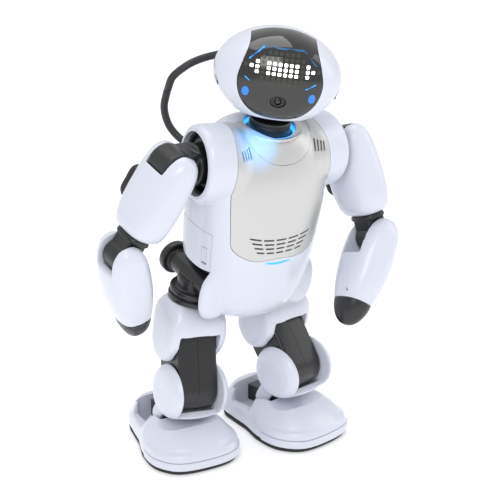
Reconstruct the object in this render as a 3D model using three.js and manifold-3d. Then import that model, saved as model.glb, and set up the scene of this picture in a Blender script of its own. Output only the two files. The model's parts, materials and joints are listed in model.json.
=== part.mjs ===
// A walking humanoid toy robot, about 0.4 m tall, in millimetres.
// +Z is up, the robot faces -Y, and its own left hand is at +X. The origin is on the floor under the middle of the
// bounding box. Every link is a group placed at its joint, so the nested groups are the robot's kinematic chain.
import * as THREE from "three";
import { mergeVertices } from "three/addons/utils/BufferGeometryUtils.js";
import Module from "manifold-3d";

const wasm = await Module();
wasm.setup();

// ---------------------------------------------------------------- driving dimensions
const WALL = 3; // thickness of a moulded shell
const GAP = 0.5; // seam between two mating pieces
const RUN = 0.8; // running clearance between pieces that turn

const TORSO_LEAN = 11; // degrees the torso leans forward while walking
const TORSO_ROLL = 3; // degrees it leans to its left
const HIP_SPACING = 43; // each hip roll axis from the middle
const HIP_Z = 18; // hip roll axes above the torso's own origin
const SHOULDER_Z = 136; // shoulder pitch axis above the hip roll axes
const SHOULDER_Y = 0;
const SHOULDER_FACE_X = 66; // outer face of the shoulder boss
const SHOULDER_HOLE_R = 27.5;
const NECK_Z = 163; // neck pan joint above the hip roll axes
const NECK_Y = -4;
const HEAD_TILT_Z = 14; // head tilt axis above the neck pan joint

const SHOULDER_REACH = 23; // shoulder roll axis outside the shoulder face
const UPPER_ARM = 88; // shoulder roll axis to elbow axis
const FOREARM = 92; // elbow axis to finger tip
const EAR_R = 15; // round ends of the arm shells

const HIP_BACK = 7; // hip roll and yaw axes behind the hip pitch axis
const HIP_DROP = 60; // hip roll axis down to hip pitch axis
const THIGH = 44; // hip pitch axis to knee axis
const SHIN = 40; // knee axis to ankle pitch axis
const ANKLE_Z = 29; // ankle axes above the floor
const LEG_WIDTH = 62;
const HIP_LOBE_R = 18.5;
const KNEE_R = 25;
const LINK_WIDTH = 38;
const CORD_R = 3.4; // the dark hose from the back of the head to the back of the torso

// Rest pose, degrees. Pitch turns about X, roll about Y, yaw about Z.
const REST = {
  right: { shoulderPitch: 0, shoulderRoll: 25, elbow: -42, hipRoll: 3, hipYaw: -5, stride: 4 },
  left: { shoulderPitch: -30, shoulderRoll: -11, elbow: 42, hipRoll: 0, hipYaw: 11, stride: 20 },
  headPan: -31,
  headTilt: -10,
  hipHeight: 142,
};

// ---------------------------------------------------------------- materials
const plastic = (colour, roughness, metalness = 0) =>
  new THREE.MeshStandardMaterial({ color: colour, roughness, metalness });
const WHITE = plastic(0xd9dcea, 0.28);
const SILVER = plastic(0xb9bab5, 0.35, 0.6);
const BLACK = plastic(0x1d1d1f, 0.42);
const GLOSS_BLACK = plastic(0x0b0b0c, 0.08);
const RUBBER = plastic(0x141414, 0.85);
const BLUE_LIGHT = plastic(0x2f9bff, 0.3);
const BOARD = plastic(0x1f5c3a, 0.6);
const CELL = plastic(0x40454d, 0.5);

// ---------------------------------------------------------------- geometry helpers
const rad = THREE.MathUtils.degToRad;

// A closed three.js geometry as a manifold-3d solid with its faces pointing out.
function solid(geometry) {
  const bare = geometry.index ? geometry.toNonIndexed() : geometry.clone();
  const position = new THREE.BufferGeometry().setAttribute("position", bare.getAttribute("position"));
  const merged = mergeVertices(position, 1e-4);
  const triVerts = new Uint32Array(merged.index.array);
  const make = () =>
    new wasm.Manifold(new wasm.Mesh({ numProp: 3, vertProperties: merged.attributes.position.array, triVerts }));
  const made = make();
  if (made.volume() >= 0) return made;
  for (let i = 0; i < triVerts.length; i += 3) {
    [triVerts[i + 1], triVerts[i + 2]] = [triVerts[i + 2], triVerts[i + 1]];
  }
  return make();
}

const union = (...pieces) => pieces.reduce((a, b) => a.add(b));

// The reverse of solid(): a BufferGeometry for a named mesh.
function geometryOf(manifold) {
  const mesh = manifold.getMesh();
  const points = new Float32Array(mesh.numVert * 3);
  for (let i = 0; i < mesh.numVert; i++) {
    points.set(mesh.vertProperties.subarray(i * mesh.numProp, i * mesh.numProp + 3), i * 3);
  }
  const geometry = new THREE.BufferGeometry().setAttribute("position", new THREE.BufferAttribute(points, 3));
  geometry.setIndex(new THREE.BufferAttribute(new Uint32Array(mesh.triVerts), 1));
  geometry.computeVertexNormals();
  return geometry;
}

const box = (width, depth, height, x = 0, y = 0, z = 0) =>
  solid(new THREE.BoxGeometry(width, depth, height).translate(x, y, z));

// A cylinder or cone about X, Y or Z, centred at a point. r2 is the radius at its positive end.
function rod(axis, r, length, x = 0, y = 0, z = 0, r2 = r, segments = 24) {
  const geometry = new THREE.CylinderGeometry(r2, r, length, segments);
  if (axis === "x") geometry.rotateZ(-Math.PI / 2);
  if (axis === "z") geometry.rotateX(Math.PI / 2);
  return solid(geometry.translate(x, y, z));
}

const ball = (rx, ry, rz, x = 0, y = 0, z = 0, segments = 16) =>
  solid(new THREE.SphereGeometry(1, segments, Math.round(segments * 0.6)).scale(rx, ry, rz).translate(x, y, z));

// Points of a superellipse: power 2 is an ellipse, and a larger power is squarer.
function superellipse(a, b, power = 2.5, count = 24) {
  const bend = (v) => Math.sign(v) * Math.abs(v) ** (2 / power);
  return Array.from({ length: count }, (_, i) => {
    const t = (2 * Math.PI * (i + 0.5)) / count;
    return [a * bend(Math.cos(t)), b * bend(Math.sin(t))];
  });
}

// A closed solid through rings of equal length, capped with fans at both ends.
function loft(rings) {
  const count = rings[0].length;
  const triangles = [];
  const middle = (ring) => [0, 1, 2].map((k) => ring.reduce((sum, p) => sum + p[k], 0) / count);
  for (let r = 0; r + 1 < rings.length; r++) {
    for (let i = 0; i < count; i++) {
      const j = (i + 1) % count;
      const [a, b, c, d] = [rings[r][i], rings[r][j], rings[r + 1][j], rings[r + 1][i]];
      triangles.push(a, b, c, a, c, d);
    }
  }
  const cap = (ring, turned) => {
    const centre = middle(ring);
    for (let i = 0; i < count; i++) {
      const [a, b] = [ring[i], ring[(i + 1) % count]];
      triangles.push(...(turned ? [b, a, centre] : [a, b, centre]));
    }
  };
  cap(rings[0], true);
  cap(rings[rings.length - 1], false);
  const position = new THREE.BufferAttribute(new Float32Array(triangles.flat()), 3);
  return solid(new THREE.BufferGeometry().setAttribute("position", position));
}

// Horizontal rings: each row is [z, half width, half depth, centre y].
const loftUp = (rows, power, count) =>
  loft(rows.map(([z, a, b, y = 0]) => superellipse(a, b, power, count).map(([px, py]) => [px, py + y, z])));

// Rings across the width of a leg or arm: each row is [x, scale], and outline holds [y, z] points.
const loftAcross = (outline, rows, y0 = 0, z0 = 0) =>
  loft(rows.map(([x, s]) => outline.map(([y, z]) => [x, y0 + (y - y0) * s, z0 + (z - z0) * s])));

// An outline of [u, v] points pushed through along Y (u is x, v is z) or along X (u is y, v is z).
function prism(axis, outline, from, to) {
  const shape = new THREE.Shape(outline.map(([u, v]) => new THREE.Vector2(u, v)));
  const geometry = new THREE.ExtrudeGeometry(shape, { depth: to - from, bevelEnabled: false, curveSegments: 8 });
  geometry.translate(0, 0, from);
  // Extrusion runs along Z: turn it so that u, v and the depth land on the wanted axes.
  const m = new THREE.Matrix4();
  if (axis === "y") m.set(1, 0, 0, 0, 0, 0, 1, 0, 0, 1, 0, 0, 0, 0, 0, 1);
  else m.set(0, 0, 1, 0, 1, 0, 0, 0, 0, 1, 0, 0, 0, 0, 0, 1);
  return solid(geometry.applyMatrix4(m));
}

// Points along a smooth closed curve through a few corners.
const smooth = (corners, count) =>
  new THREE.SplineCurve([...corners, corners[0]].map(([u, v]) => new THREE.Vector2(u, v)))
    .getPoints(count)
    .slice(0, count)
    .map((p) => [p.x, p.y]);

// Points on an arc, angles in degrees from the +u axis.
const arc = (u, v, r, from, to, steps) =>
  Array.from({ length: steps + 1 }, (_, i) => {
    const t = rad(from + ((to - from) * i) / steps);
    return [u + r * Math.cos(t), v + r * Math.sin(t)];
  });

// The same solid on the other side of the robot.
function mirrored(manifold) {
  const geometry = geometryOf(manifold).scale(-1, 1, 1);
  return solid(geometry);
}

// ---------------------------------------------------------------- groups
const robot = new THREE.Group();

// A link: its joint sits at a point of its parent, and it is turned by its rest angle about the joint's axis.
function link(parent, name, axis, x, y, z, degrees) {
  const group = new THREE.Group();
  group.name = name;
  group.position.set(x, y, z);
  group.rotation[axis] = rad(degrees);
  group.userData.axis = axis;
  parent.add(group);
  return group;
}

function add(group, name, manifold, material) {
  const mesh = new THREE.Mesh(geometryOf(manifold), material);
  mesh.name = name;
  group.add(mesh);
}

// ---------------------------------------------------------------- torso
// Outer form of the torso: [height above its origin, half width, half depth, centre y].
const TORSO_FORM = [
  [-11, 17, 14, -6],
  [-8, 33, 27, -5],
  [2, 45, 37, -3],
  [20, 52, 44, -2],
  [45, 56, 48, -1],
  [75, 59, 49, 0],
  [104, 61, 47, 0],
  [134, 58, 43, 1],
  [154, 50, 36, 2],
  [164, 38, 28, 2],
  [168, 26, 20, 2],
];
const thinned = (form, wall) =>
  form
    .filter(([z]) => z > form[0][0] + wall && z < form[form.length - 1][0] - wall / 2)
    .map(([z, a, b, y]) => [z, a - wall, b - wall, y]);
const grown = (outline, by, u0, v0) =>
  outline.map(([u, v]) => {
    const d = Math.hypot(u - u0, v - v0);
    return [u + ((u - u0) / d) * by, v + ((v - v0) / d) * by];
  });
// Outlines seen from the front, as [x, z].
const BIB_HALF = [[27, 61], [39, 68], [44, 88], [47, 112], [46, 138], [38, 168]];
const YOKE_HALF = [[9, 122], [20, 132], [27, 148], [29, 172]];
const twoSided = (half, bottom, top) =>
  smooth([[0, bottom], ...half, [0, top], ...half.map(([x, z]) => [-x, z]).reverse()], 44);
const BIB = twoSided(BIB_HALF, 60, 190);
const YOKE = twoSided(YOKE_HALF, 118, 190);
const SPLIT_Y = 6; // plane between the front and the back shell
const DOOR = { back: 20, front: -24, bottom: 30, top: 78 };

const torso = link(robot, "torso", "x", 0, 0, REST.hipHeight, TORSO_LEAN);
torso.rotation.y = rad(TORSO_ROLL);

{
  // A shoulder boss is a drum whose mouth is turned a little to the front.
  const drum = (s, r, length, inset = 0, segments = 28) => {
    const geometry = new THREE.CylinderGeometry(r, r, length, segments).rotateZ(Math.PI / 2);
    geometry.translate(s * (-length / 2 - inset), 0, 0).rotateZ(s * rad(7));
    return solid(geometry.translate(s * SHOULDER_FACE_X, SHOULDER_Y, SHOULDER_Z));
  };
  const rim = (s) => {
    const geometry = new THREE.CylinderGeometry(29, 33, 3.5, 28).rotateZ((-s * Math.PI) / 2);
    geometry.translate(s * 1.7, 0, 0).rotateZ(s * rad(7));
    return solid(geometry.translate(s * SHOULDER_FACE_X, SHOULDER_Y, SHOULDER_Z));
  };
  const outer = union(loftUp(TORSO_FORM, 2.4, 28), drum(-1, 33, 28), drum(1, 33, 28), rim(-1), rim(1));
  const inner = union(
    loftUp(thinned(TORSO_FORM, WALL), 2.4, 28),
    drum(-1, 33 - WALL, 30, WALL),
    drum(1, 33 - WALL, 30, WALL),
  );
  const holes = union(
    drum(-1, SHOULDER_HOLE_R, 24, -8),
    drum(1, SHOULDER_HOLE_R, 24, -8),
    rod("z", 23, 40, 0, NECK_Y, NECK_Z, 23, 28),
  );
  // The hips work in arches under the torso, open at the sides and the back.
  const arch = (s) => {
    const crown = arc(s * HIP_SPACING, HIP_Z + 1, 24.5, s > 0 ? 180 : 0, s > 0 ? 0 : 180, 10);
    return prism("y", [[s * 12, -60], ...crown, [s * 95, HIP_Z + 1], [s * 95, -60]], -26, 80);
  };
  const arches = union(arch(1), arch(-1), box(90, 100, 24, 0, 26, -14));
  const front = box(300, 100, 400, 0, SPLIT_Y - 50 - GAP / 2, 80);
  const back = box(300, 100, 400, 0, SPLIT_Y + 50 + GAP / 2, 80);
  const bib = prism("y", BIB, -100, 20);
  const bibCut = prism("y", grown(BIB, GAP, 0, 110), -100, 20);
  const yoke = prism("y", YOKE, -100, 20);
  const yokeCut = prism("y", grown(YOKE, GAP, 0, 150), -100, 20);
  const doorway = (inset) => {
    const [b, f] = [DOOR.back - inset, DOOR.front + inset];
    const [low, high] = [DOOR.bottom + inset, DOOR.top - inset];
    return prism("x", [[f, low], [b, low], [b, high], [f, high]], -100, -30);
  };
  // Loudspeaker slots in four curved rows, and a slot for the belly light under the panel.
  const slots = [];
  for (let row = 0; row < 4; row++) {
    const reach = 27 - row * 2.5;
    for (let column = 0; column < 5; column++) {
      const x = -reach + ((column + 0.5) * 2 * reach) / 5;
      slots.push(box((2 * reach) / 5 - 2.4, 30, 1.5, x, -50, 80 - row * 4.2));
    }
  }
  const vents = [-1, 1].flatMap((s) =>
    [0, 1, 2, 3].map((i) => box(1.3, 40, 10 - i * 0.8, s * (33 + i * 3), -45, 144 + (s < 0 ? i : i) * 0.4)));
  // A lobe hangs in front of each hip, flush with the belly.
  const guard = (s) =>
    loft([[-17.5, 0.95], [-23, 1], [-27, 0.96], [-30, 0.82], [-31.5, 0.6]].map(([y, k]) =>
      superellipse(16 * k, 25 * k, 2.6, 20).map(([u, v]) => [s * 43 + u, y, v + 18]),
    )).subtract(inner);
  const shell = outer.subtract(inner).subtract(holes);
  const frontShell = union(shell.intersect(front), guard(1), guard(-1));
  const beltLight = box(26, 30, 2.2, 0, -50, 55);

  const whole = frontShell.subtract(bibCut).subtract(arches).subtract(doorway(0)).subtract(beltLight);
  add(torso, "torso_front_shell", whole, WHITE);
  add(torso, "torso_back_shell", shell.intersect(back).subtract(arches).subtract(doorway(0))
    .subtract(rod("y", 5, 40, 22, 50, 120)).subtract(rod("y", 5.2, 40, -22, 50, 96)), WHITE);
  const panel = shell.intersect(front).intersect(bib).subtract(yokeCut);
  add(torso, "chest_panel", [...slots, ...vents].reduce((a, b) => a.subtract(b), panel), SILVER);
  add(torso, "collar_yoke", shell.intersect(front).intersect(yoke), SILVER);
  add(torso, "belly_light", box(25.4, 4, 1.6, 0, -45.5, 55), BLUE_LIGHT);
  add(torso, "collar_light", rod("z", 22.5, 3, 0, NECK_Y, NECK_Z - 1, 22.5, 28)
    .subtract(rod("z", 20.9, 10, 0, NECK_Y, NECK_Z, 20.9, 28)), BLUE_LIGHT);

  // The battery door swings on the torso's flank, and its latch slides up and down in it.
  const latchAt = { y: DOOR.front + 7, z: 55 };
  const latchHole = box(60, 6, 17, -60, latchAt.y, latchAt.z);
  const door = link(torso, "battery_door", "z", 0, 0, 0, 0);
  const flank = loftUp(TORSO_FORM, 2.4, 28).subtract(loftUp(thinned(TORSO_FORM, WALL), 2.4, 28));
  add(door, "battery_door", flank.intersect(doorway(GAP)).subtract(latchHole), WHITE);
  const latch = link(door, "door_latch", "z", 0, 0, 0, 0);
  add(latch, "door_latch", flank.intersect(box(60, 5.2, 14, -60, latchAt.y, latchAt.z + 0.8)), WHITE);

  // Inside: battery, board, loudspeaker and the frame that carries the hips.
  add(torso, "battery_pack", box(34, 40, 44, -30, -1, 71), CELL);
  add(torso, "main_board", box(46, 2, 60, 0, 31, 98), BOARD);
  add(torso, "speaker", rod("y", 22, 12, 0, -36, 76, 16), BLACK);
  const axle = (s) => union(
    rod("y", 5, 62, s * HIP_SPACING, 8, HIP_Z),
    box(12, 3, 30, s * (HIP_SPACING - 6), -21.5, HIP_Z + 14),
  );
  add(torso, "pelvis_frame", union(axle(-1), axle(1), box(2 * HIP_SPACING - 4, 12, 5, 0, -19, HIP_Z + 28)), BLACK);
  for (const [side, s] of [["right", -1], ["left", 1]]) {
    add(torso, `${side}_shoulder_ring`, drum(s, 29.4, 5, 4).subtract(drum(s, 25, 20, 0)), BLACK);
  }
  const button = link(torso, "power_button", "z", 0, 0, 0, 0);
  add(button, "power_button", rod("y", 4.4, 7, 22, 41.8, 120), BLUE_LIGHT);
  add(torso, "charge_socket", rod("y", 4.9, 9, -22, 42.2, 96).subtract(rod("y", 2.6, 12, -22, 46, 96)), BLACK);
}

// ---------------------------------------------------------------- neck, head and hose
const neck = link(torso, "neck", "z", 0, NECK_Y, NECK_Z, REST.headPan);
const head = link(neck, "head", "x", 0, 0, HEAD_TILT_Z, REST.headTilt);
// Outer form of the head, from the chin up.
const HEAD_FORM = [
  [0, 18, 18, -2],
  [2.5, 31, 30, -2],
  [9, 40, 38, -2],
  [18, 48, 42, -1],
  [28, 54, 44, 0],
  [37, 54, 45, 0],
  [47, 51, 44, 0],
  [57, 44, 40, 0],
  [66, 32, 31, 0],
  [72, 18, 18, 0],
  [74, 6, 6, 0],
];
const FACE_HALF = [[20, 9], [31, 20], [35, 34], [32, 50], [28, 62], [25, 74]];
const FACE = twoSided(FACE_HALF, 5, 84);
{
  add(neck, "neck_barrel", union(rod("z", 18, 16, 0, 0, 3), rod("z", 20, 5, 0, 0, -3)), BLACK);
  const outer = loftUp(HEAD_FORM, 2.2, 28);
  const inner = loftUp(thinned(HEAD_FORM, WALL), 2.2, 28);
  const hollow = outer.subtract(inner).subtract(rod("z", 19.5, 30, 0, 0, 0));
  const face = prism("y", FACE, -80, -4);
  const faceCut = prism("y", grown(FACE, GAP, 0, 42), -80, -4);
  const front = box(200, 100, 200, 0, -50 + 4 - GAP / 2, 40);
  const back = box(200, 100, 200, 0, 50 + 4 + GAP / 2, 40);
  const ear = (s, r, x0, x1) => rod("x", r, x1 - x0, (s * (x0 + x1)) / 2, -13, 26);
  const earHoles = union(ear(-1, 4.6, 30, 70), ear(1, 4.6, 30, 70));
  const hoseHole = rod("y", 5, 30, -26, 38, 36);
  const frontShell = hollow.intersect(front).subtract(faceCut).subtract(earHoles);
  add(head, "head_front_shell", frontShell, WHITE);
  add(head, "head_back_shell", hollow.intersect(back).subtract(hoseHole), WHITE);
  add(head, "face_visor", hollow.intersect(face).subtract(rod("y", 6.6, 30, 0, -42, 21)), GLOSS_BLACK);
  add(head, "nose_camera", rod("y", 6, 7, 0, -37.5, 21).subtract(rod("y", 3.2, 3, 0, -41, 21)), BLACK);
  add(head, "face_light_board", box(46, 2, 24, 0, -29, 42), BOARD);
  add(head, "right_ear_sensor", ear(-1, 4.2, 40, 47.6), BLACK);
  add(head, "left_ear_sensor", ear(1, 4.2, 40, 47.6), BLACK);
  add(head, "head_carrier", union(
    rod("z", 19, 5, 0, 0, 5.5),
    box(24, 8, 24, 0, 10, 16),
  ), BLACK);
}

// A round hose through points given in a group's frame.
function hose(points, radius) {
  const curve = new THREE.CatmullRomCurve3(points.map((p) => new THREE.Vector3(...p)));
  const steps = 12;
  const frames = curve.computeFrenetFrames(steps, false);
  const rings = Array.from({ length: steps + 1 }, (_, i) => {
    const centre = curve.getPointAt(i / steps);
    return Array.from({ length: 12 }, (_, k) => {
      const t = (2 * Math.PI * k) / 12;
      const offset = frames.normals[i].clone().multiplyScalar(radius * Math.cos(t));
      offset.addScaledVector(frames.binormals[i], radius * Math.sin(t));
      return offset.add(centre).toArray();
    });
  });
  return loft(rings);
}
{
  // Both halves of the hose are laid out in the torso's frame, and the upper one is handed to the head.
  robot.updateMatrixWorld(true);
  const meeting = [-60, 68, 172];
  const lower = [[-40, 39, 128], [-46, 52, 129], [-55, 64, 139], [-60, 69, 155], meeting];
  const socket = new THREE.Vector3(-26, 40, 36).applyMatrix4(head.matrixWorld);
  torso.worldToLocal(socket);
  const outward = new THREE.Vector3(-26, 54, 36).applyMatrix4(head.matrixWorld);
  torso.worldToLocal(outward);
  const upper = [[-60, 67.4, 173], [-59, 64, 186], [-50, 60, 197], outward.toArray(), socket.toArray()];
  add(torso, "neck_hose_lower", hose(lower, CORD_R), RUBBER);
  const toHead = head.matrixWorld.clone().invert().multiply(torso.matrixWorld);
  const upperPoints = upper.map((p) => new THREE.Vector3(...p).applyMatrix4(toHead).toArray());
  add(head, "neck_hose_upper", hose(upperPoints, CORD_R), RUBBER);
}

// ---------------------------------------------------------------- arms
function arm(side, s, pose) {
  const bracket = link(
    torso, `${side}_shoulder_bracket`, "x", s * SHOULDER_FACE_X, SHOULDER_Y, SHOULDER_Z, pose.shoulderPitch);
  const upper = link(bracket, `${side}_upper_arm`, "y", s * SHOULDER_REACH, 0, 0, pose.shoulderRoll);
  const fore = link(upper, `${side}_forearm`, "y", 0, 0, -UPPER_ARM, pose.elbow);

  // A drum inside the shoulder, a neck out of it, and a knuckle between the ears of the upper arm.
  add(bracket, `${side}_shoulder_bracket`, union(
    rod("x", 22.5, 7, s * -11, 0, 0),
    rod("x", 17, 18, s * -4.6, 0, 0),
    box(22, 26, 30, s * 12, 0, 0),
    rod("y", 16.5, 26.6, s * SHOULDER_REACH, 0, 0),
  ), BLACK);

  const upperForm = [
    [15, 8, 22], [9, 13.5, 26], [0, 17, 27], [-20, 18.5, 28], [-45, 18.5, 28], [-58, 17, 25], [-65, 12, 18],
  ];
  const upperSlot = union(
    rod("y", 17.2, 27.6, 0, 0, 0),
    box(60, 27.6, 40, 0, 0, 14),
    box(30, 27.6, 36, s * -15, 0, 0),
  );
  add(upper, `${side}_upper_arm_shell`, loftUp(upperForm, 2.8, 20).subtract(upperSlot), WHITE);
  add(upper, `${side}_upper_arm_pad`, loftUp([
    [-44, 9, 3, 29.5], [-40, 11, 4, 31], [-20, 11.5, 4, 31], [-16, 9, 3, 29.5],
  ], 3, 16).subtract(box(60, 20, 60, 0, 18.2, -30)), BLACK);
  add(upper, `${side}_elbow_bracket`, union(
    loftUp([[-65.4, 11, 16], [-69.6, 12, 16]], 3, 16),
    box(18, 23, 22, 0, 0, -79.5),
    rod("y", 12.5, 23, 0, 0, -UPPER_ARM),
  ), BLACK);

  const foreForm = [
    [15, 8, 20], [9, 14, 23], [0, 17.5, 25], [-20, 19.5, 25], [-45, 18, 22.5], [-62, 14.5, 18],
  ];
  const foreSlot = union(rod("y", 13.6, 25, 0, 0, 0), box(60, 25, 36, 0, 0, 12), box(24, 25, 40, s * -14, 0, -2));
  add(fore, `${side}_forearm_shell`, loftUp(foreForm, 2.8, 20).subtract(foreSlot)
    .subtract(rod("x", 1.6, 20, s * -16, -8, -58)), WHITE);
  add(fore, `${side}_hand_tip`, loftUp([
    [-62.5, 14.5, 18], [-71, 12.5, 15], [-79, 9, 10.5], [-83.5, 4, 5],
  ], 2.4, 20), BLACK);
}

// ---------------------------------------------------------------- legs
// Ankle angles that lay the foot flat, for a shin whose turn in the robot's frame is given.
function flatFoot(shin) {
  robot.updateMatrixWorld(true);
  const up = new THREE.Vector3(0, 0, 1).applyQuaternion(shin.getWorldQuaternion(new THREE.Quaternion()).invert());
  return { pitch: Math.atan2(-up.y, up.z), roll: Math.asin(up.x) };
}

// Hip pitch and knee angles that hold the ankle at its height above the floor, a stride ahead (-Y) of the hip.
function bentLeg(thigh, stride) {
  robot.updateMatrixWorld(true);
  const e = thigh.parent.matrixWorld.elements;
  const hip = new THREE.Vector3().setFromMatrixPosition(thigh.matrixWorld);
  const y = -stride;
  const z = (ANKLE_Z - hip.z - e[6] * y) / e[10];
  const reach = Math.hypot(y, z);
  const kneeTurn = Math.PI - Math.acos((THIGH ** 2 + SHIN ** 2 - reach ** 2) / (2 * THIGH * SHIN));
  const lead = Math.acos((THIGH ** 2 + reach ** 2 - SHIN ** 2) / (2 * THIGH * reach));
  return { hipPitch: Math.atan2(y, -z) - lead, knee: kneeTurn };
}

function leg(side, s, pose) {
  const roll = link(torso, `${side}_hip_roll`, "y", s * HIP_SPACING, HIP_BACK, HIP_Z, pose.hipRoll);
  const yaw = link(roll, `${side}_hip_yaw`, "z", 0, 0, 0, pose.hipYaw);
  const thigh = link(yaw, `${side}_thigh`, "x", 0, -HIP_BACK, -HIP_DROP, 0);
  const shin = link(thigh, `${side}_shin`, "x", 0, 0, -THIGH, 0);
  const bend = bentLeg(thigh, pose.stride);
  thigh.rotation.x = bend.hipPitch;
  shin.rotation.x = bend.knee;
  const ankle = link(shin, `${side}_ankle`, "x", 0, 0, -SHIN, 0);
  const foot = link(ankle, `${side}_foot`, "y", 0, 0, 0, 0);
  const flat = flatFoot(shin);
  ankle.rotation.x = flat.pitch;
  foot.rotation.y = flat.roll;

  // The roll housing turns on the pelvis axle and carries the upper half of the hip disc.
  add(roll, `${side}_hip_roll_housing`, union(
    rod("y", 10, 58, 0, 4, 0),
    rod("y", 15, 8, 0, 37, 0),
    rod("z", 16, 12, 0, 0, -5),
    rod("z", 21.5, 5, 0, 0, -11.4),
  ).subtract(rod("y", 5.6, 70, 0, 0.4, 0)), BLACK);
  add(yaw, `${side}_hip_yaw_disc`, rod("z", 22, 5.4, 0, 0, -17.2), BLACK);

  // The hip block holds the thigh's upper pivot between two lobes.
  const hipOutline = [
    ...arc(0, 0, HIP_LOBE_R, 195, 320, 8), [19.5, -6], [22.5, 6], [25, 22], [24, 33], [18, 39.4], [-5, 39.4],
    [-13, 34], [-22, 16], [-22, 5],
  ];
  const hipRows = [[-29, 0.66], [-26.5, 0.88], [-21, 1], [21, 1], [26.5, 0.88], [29, 0.66]];
  const crown = loftUp([[-40, 60, 60], [12, 40, 40, 3], [39.6, 24, 24, 7]], 2, 28);
  const hipSlot = union(
    rod("x", 20.6, LINK_WIDTH + 1.4),
    box(LINK_WIDTH + 1.4, 50, 60, 0, -18, -14.5),
    box(LINK_WIDTH + 1.4, 60, 40, 0, 0, -24),
  );
  const hipBlock = loftAcross(hipOutline, hipRows).intersect(crown).subtract(hipSlot);
  add(yaw, `${side}_hip_block`, hipBlock.translate([0, -HIP_BACK, -HIP_DROP]), WHITE);

  // The knee link carries the hip pivot at its top and the knee pivot at its bottom.
  const linkOutline = [...arc(0, 0, 19.4, 0, 180, 12), ...arc(0, -THIGH, 20.4, 180, 360, 12)];
  add(thigh, `${side}_knee_link`, prism("x", linkOutline, -LINK_WIDTH / 2, LINK_WIDTH / 2), BLACK);

  // The shin is a round bulb with a window for the link, and two cheeks down to the ankle.
  const kneeRows = [[-29, 0.6], [-26.5, 0.84], [-20.5, 1], [20.5, 1], [26.5, 0.84], [29, 0.6]];
  const kneeSlot = union(
    rod("x", 21.2, LINK_WIDTH + 1.4),
    box(LINK_WIDTH + 1.4, 46, 60, 0, -15, 24),
    box(LINK_WIDTH + 1.4, 40, 75, 0, 20, 16.5),
  );
  // Its section is an egg that lies level when the robot stands.
  const bulb = arc(0, 0, KNEE_R, 0, 345, 23).map(([y, z]) => {
    const long = y < 0 ? y * 1.2 : y;
    return [long * 0.84 + z * 0.54, -long * 0.54 + z * 0.84];
  });
  const cheek = (x) => union(box(3.4, 15, 18, x, 1, -SHIN + 9.2), rod("x", 7.5, 3.4, x, 1, -SHIN));
  add(shin, `${side}_shin_shell`, union(
    loftAcross(bulb, kneeRows).subtract(kneeSlot),
    cheek(-17.4), cheek(17.4),
  ), WHITE);

  add(ankle, `${side}_ankle_block`, union(
    rod("x", 10.5, 28),
    box(24, 26, 16, 0, 13, -3),
  ).subtract(rod("y", 4.2, 90)), BLACK);

  const FZ = -ANKLE_Z;
  const FY = 13; // the ankle sits ahead of the foot's waist
  const outline = twoSided([[31, -61], [41, -46], [41.5, -18], [34, 8], [30.5, 28], [26, 45]], -68, 53);
  const layer = (z, k) => outline.map(([u, v]) => [u * k, (v - FY) * k + FY, z]);
  const toe = loftUp([
    [FZ + 8, 40.6, 42, -25], [FZ + 14, 40.6, 42, -25], [FZ + 23, 37, 37, -23], [FZ + 32, 28, 28, -21],
    [FZ + 38, 15, 15, -19],
  ], 2.5, 24);
  const heel = loftUp([
    [FZ + 6, 29, 31, 21], [FZ + 14, 29, 31, 21], [FZ + 24, 27.5, 29.5, 21], [FZ + 31, 24, 26, 20],
    [FZ + 34, 19, 21, 20],
  ], 2.5, 24);
  // The space that the bulb sweeps over the toes as the ankle pitches.
  const swept = (degrees) => {
    const [c, n] = [Math.cos(rad(degrees)), Math.sin(rad(degrees))];
    const at = ([y, z]) => [1.1 * y, 1.12 * z + SHIN];
    return prism("x", bulb.map(at).map(([y, z]) => [y * c - z * n, y * n + z * c]), -45, 45);
  };
  const notch = union(
    box(44, 51, 60, 0, 10.5, FZ + 8 + 30),
    box(100, 26, 60, 0, 18, FZ + 19 + 30),
    ...[-6, 6, 18, 30, 42].map(swept),
  );
  const slab = loft([layer(FZ + 4.2, 0.98), layer(FZ + 10, 1), layer(FZ + 19, 0.96)]);
  const band = loft([layer(FZ + 4.2, 0.99), layer(FZ + 12, 1.02)]).intersect(box(120, 62, 40, 0, -54, FZ + 10));
  const bandCut = loft([layer(FZ + 4.2, 0.93), layer(FZ + 12.4, 0.93)]);
  const pin = rod("y", 3.6, 60, 0, 14, 0);
  add(foot, `${side}_foot_shell`, union(toe, heel, slab).subtract(notch).add(pin)
    .subtract(box(120, 62.6, 8.4, 0, -54, FZ + 8.2).subtract(bandCut)), WHITE);
  add(foot, `${side}_toe_band`, band.subtract(loft([layer(FZ + 4, 0.935), layer(FZ + 12.5, 0.935)])), WHITE);
  add(foot, `${side}_foot_sole`, loft([layer(FZ, 0.95), layer(FZ + 4, 0.98)]), RUBBER);
}

for (const [side, s] of [["right", -1], ["left", 1]]) {
  arm(side, s, REST[side]);
  leg(side, s, REST[side]);
}

// ---------------------------------------------------------------- stand the robot on the floor
robot.updateMatrixWorld(true);
const bounds = new THREE.Box3().setFromObject(robot, true);
torso.position.x -= (bounds.min.x + bounds.max.x) / 2;
torso.position.y -= (bounds.min.y + bounds.max.y) / 2;
torso.position.z -= bounds.min.z;
robot.updateMatrixWorld(true);

export default robot;
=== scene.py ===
"""A small walking robot: smooth shells, dark joints and lights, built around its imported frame.

Every piece is made in millimetres in the frame of the body it rides on, and then set in the row frame.
"""
import json
import math

import bmesh
import bpy
import numpy as np
from mathutils import Matrix, Vector
from mathutils.bvhtree import BVHTree


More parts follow.
